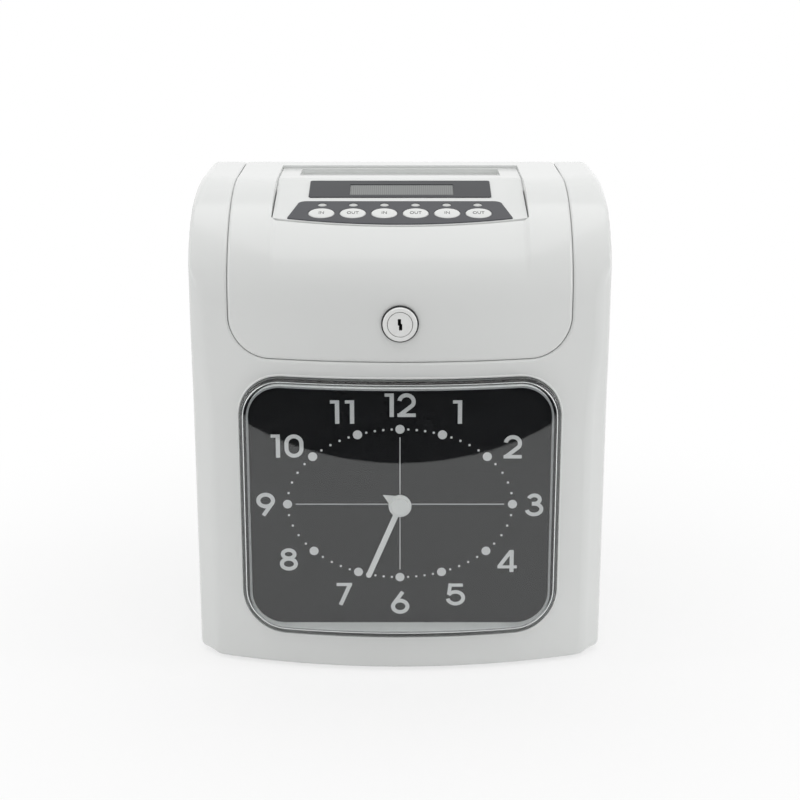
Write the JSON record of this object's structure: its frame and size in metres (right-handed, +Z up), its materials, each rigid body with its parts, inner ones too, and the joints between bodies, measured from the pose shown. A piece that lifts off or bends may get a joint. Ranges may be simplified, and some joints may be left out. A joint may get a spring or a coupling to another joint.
{
  "type": "time clock",
  "caption": "Card time recorder with an analogue dial under a clear lens, a locked hinged cover, keys, a display, a card slot and a printer inside.",
  "frame": {"origin": "on the table under the middle of the case's box", "axes": "+X to the right seen from the front, the front faces -Y, +Z up"},
  "size_m": [0.218, 0.155, 0.252],
  "materials": {
    "white_shell": "glossy moulded",
    "key_white": "satin",
    "lamp_white": "translucent",
    "panel_grey": "satin printed film",
    "display_glass": "glossy",
    "clear_lens": "clear polished",
    "dial_black": "matt",
    "hand_white": "satin",
    "inner_plastic": "moulded",
    "black_plastic": "moulded",
    "lock_metal": "satin",
    "zinc_steel": "zinc plated",
    "gear_brass": "cut",
    "coil_copper": "wound",
    "roller_rubber": "matt",
    "board_green": "solder mask",
    "battery_blue": "shrink wrap"
  },
  "bodies": {
    "case": {"front_housing": "white_shell", "rear_cover": "white_shell", "base_plate": "white_shell", "control_panel": "white_shell", "card_funnel": "white_shell", "indicator_leds": "lamp_white", "keypad_overlay": "panel_grey", "lcd_bezel": "panel_grey", "lcd_module": "display_glass", "dial_lens": "clear_lens", "dial_plate": "dial_black", "dial_backing": "inner_plastic", "movement_front": "inner_plastic", "movement_case": "inner_plastic", "ribbon_cassette": "black_plastic", "power_inlet": "black_plastic", "case_screws": "zinc_steel", "inner_screws": "zinc_steel", "hinge_brackets": "zinc_steel", "hinge_pins": "zinc_steel", "lock_strike": "zinc_steel", "chassis_left": "zinc_steel", "chassis_right": "zinc_steel", "front_guide": "zinc_steel", "rear_guide": "zinc_steel", "guide_shaft": "zinc_steel", "carriage_motor": "zinc_steel", "feed_motor": "zinc_steel", "movement_coil": "coil_copper", "rubber_feet": "roller_rubber", "platen": "roller_rubber", "panel_board": "board_green", "main_board": "board_green", "backup_battery": "battery_blue"},
    "cover": {"top_cover": "white_shell", "lock_body": "lock_metal", "lock_nut": "zinc_steel"},
    "lock": {"lock_plug": "lock_metal", "lock_cam": "zinc_steel"},
    "minute": {"minute_hand": "hand_white", "centre_wheel": "gear_brass"},
    "hour": {"hour_hand": "hand_white", "hour_wheel": "gear_brass"},
    "motion": {"motion_wheel": "gear_brass"},
    "third": {"third_wheel": "gear_brass"},
    "rotor_spin": {"rotor": "zinc_steel"},
    "carriage": {"carriage": "black_plastic", "print_head": "black_plastic"},
    "screw": {"lead_screw": "zinc_steel"},
    "carriage_drive": {"carriage_pinion": "gear_brass"},
    "feed": {"feed_roller": "roller_rubber"},
    "pinch": {"pinch_roller": "roller_rubber"},
    "feed_drive": {"feed_pinion": "gear_brass"},
    "key_1": {"button_1": "key_white"},
    "key_2": {"button_2": "key_white"},
    "key_3": {"button_3": "key_white"},
    "key_4": {"button_4": "key_white"},
    "key_5": {"button_5": "key_white"},
    "key_6": {"button_6": "key_white"}
  },
  "joints": [
    {"name": "cover_hinge", "type": "hinge", "parent": "case", "child": "cover", "pos_m": [0, 0.0685, 0.243], "axis": [-1, 0, 0], "range_deg": [0, 75]},
    {"name": "lock_turn", "type": "hinge", "parent": "cover", "child": "lock", "pos_m": [0, -0.0725, 0.19], "axis": [0, 1, 0], "range_deg": [0, 90]},
    {"name": "minute_turn", "type": "hinge", "parent": "case", "child": "minute", "pos_m": [0, -0.0725, 0.0908], "axis": [0, 1, 0], "continuous": true},
    {"name": "hour_turn", "type": "hinge", "parent": "case", "child": "hour", "pos_m": [0, -0.0725, 0.0908], "axis": [0, 1, 0], "continuous": true},
    {"name": "motion_turn", "type": "hinge", "parent": "case", "child": "motion", "pos_m": [0.012, -0.0725, 0.0908], "axis": [0, 1, 0], "continuous": true},
    {"name": "third_turn", "type": "hinge", "parent": "case", "child": "third", "pos_m": [-0.01516, -0.0725, 0.08205], "axis": [0, 1, 0], "continuous": true},
    {"name": "rotor_turn", "type": "hinge", "parent": "case", "child": "rotor_spin", "pos_m": [-0.02116, -0.0725, 0.09244], "axis": [0, 1, 0], "continuous": true},
    {"name": "carriage_slide", "type": "slide", "parent": "case", "child": "carriage", "axis": [1, 0, 0], "range_m": [-0.028, 0.028]},
    {"name": "screw_turn", "type": "hinge", "parent": "case", "child": "screw", "pos_m": [0, 0.0165, 0.176], "axis": [1, 0, 0], "range_deg": [-850, 850]},
    {"name": "carriage_drive_turn", "type": "hinge", "parent": "case", "child": "carriage_drive", "pos_m": [0, 0.0081, 0.16145], "axis": [1, 0, 0], "range_deg": [-2125, 2125]},
    {"name": "feed_turn", "type": "hinge", "parent": "case", "child": "feed", "pos_m": [0, 0.04925, 0.13], "axis": [1, 0, 0], "continuous": true},
    {"name": "pinch_turn", "type": "hinge", "parent": "case", "child": "pinch", "pos_m": [0, 0.03375, 0.13], "axis": [1, 0, 0], "continuous": true},
    {"name": "feed_drive_turn", "type": "hinge", "parent": "case", "child": "feed_drive", "pos_m": [0, 0.05463, 0.10991], "axis": [1, 0, 0], "continuous": true},
    {"name": "key_1_press", "type": "slide", "parent": "case", "child": "key_1", "axis": [0, 0.2028, -0.9792], "range_m": [0, 0.0006], "stiffness_N_per_m": 400},
    {"name": "key_2_press", "type": "slide", "parent": "case", "child": "key_2", "axis": [0, 0.2028, -0.9792], "range_m": [0, 0.0006], "stiffness_N_per_m": 400},
    {"name": "key_3_press", "type": "slide", "parent": "case", "child": "key_3", "axis": [0, 0.2028, -0.9792], "range_m": [0, 0.0006], "stiffness_N_per_m": 400},
    {"name": "key_4_press", "type": "slide", "parent": "case", "child": "key_4", "axis": [0, 0.2028, -0.9792], "range_m": [0, 0.0006], "stiffness_N_per_m": 400},
    {"name": "key_5_press", "type": "slide", "parent": "case", "child": "key_5", "axis": [0, 0.2028, -0.9792], "range_m": [0, 0.0006], "stiffness_N_per_m": 400},
    {"name": "key_6_press", "type": "slide", "parent": "case", "child": "key_6", "axis": [0, 0.2028, -0.9792], "range_m": [0, 0.0006], "stiffness_N_per_m": 400}
  ],
  "couplings": [
    {"joint": "hour_turn", "follows": "minute_turn", "ratio": 0.083333},
    {"joint": "motion_turn", "follows": "minute_turn", "ratio": -0.33333},
    {"joint": "third_turn", "follows": "minute_turn", "ratio": -6},
    {"joint": "rotor_turn", "follows": "minute_turn", "ratio": 30},
    {"joint": "screw_turn", "follows": "carriage_slide", "rad_per_m": 523.6},
    {"joint": "carriage_drive_turn", "follows": "carriage_slide", "rad_per_m": -1309},
    {"joint": "pinch_turn", "follows": "feed_turn", "ratio": -1.1429},
    {"joint": "feed_drive_turn", "follows": "feed_turn", "ratio": -3.3333}
  ]
}
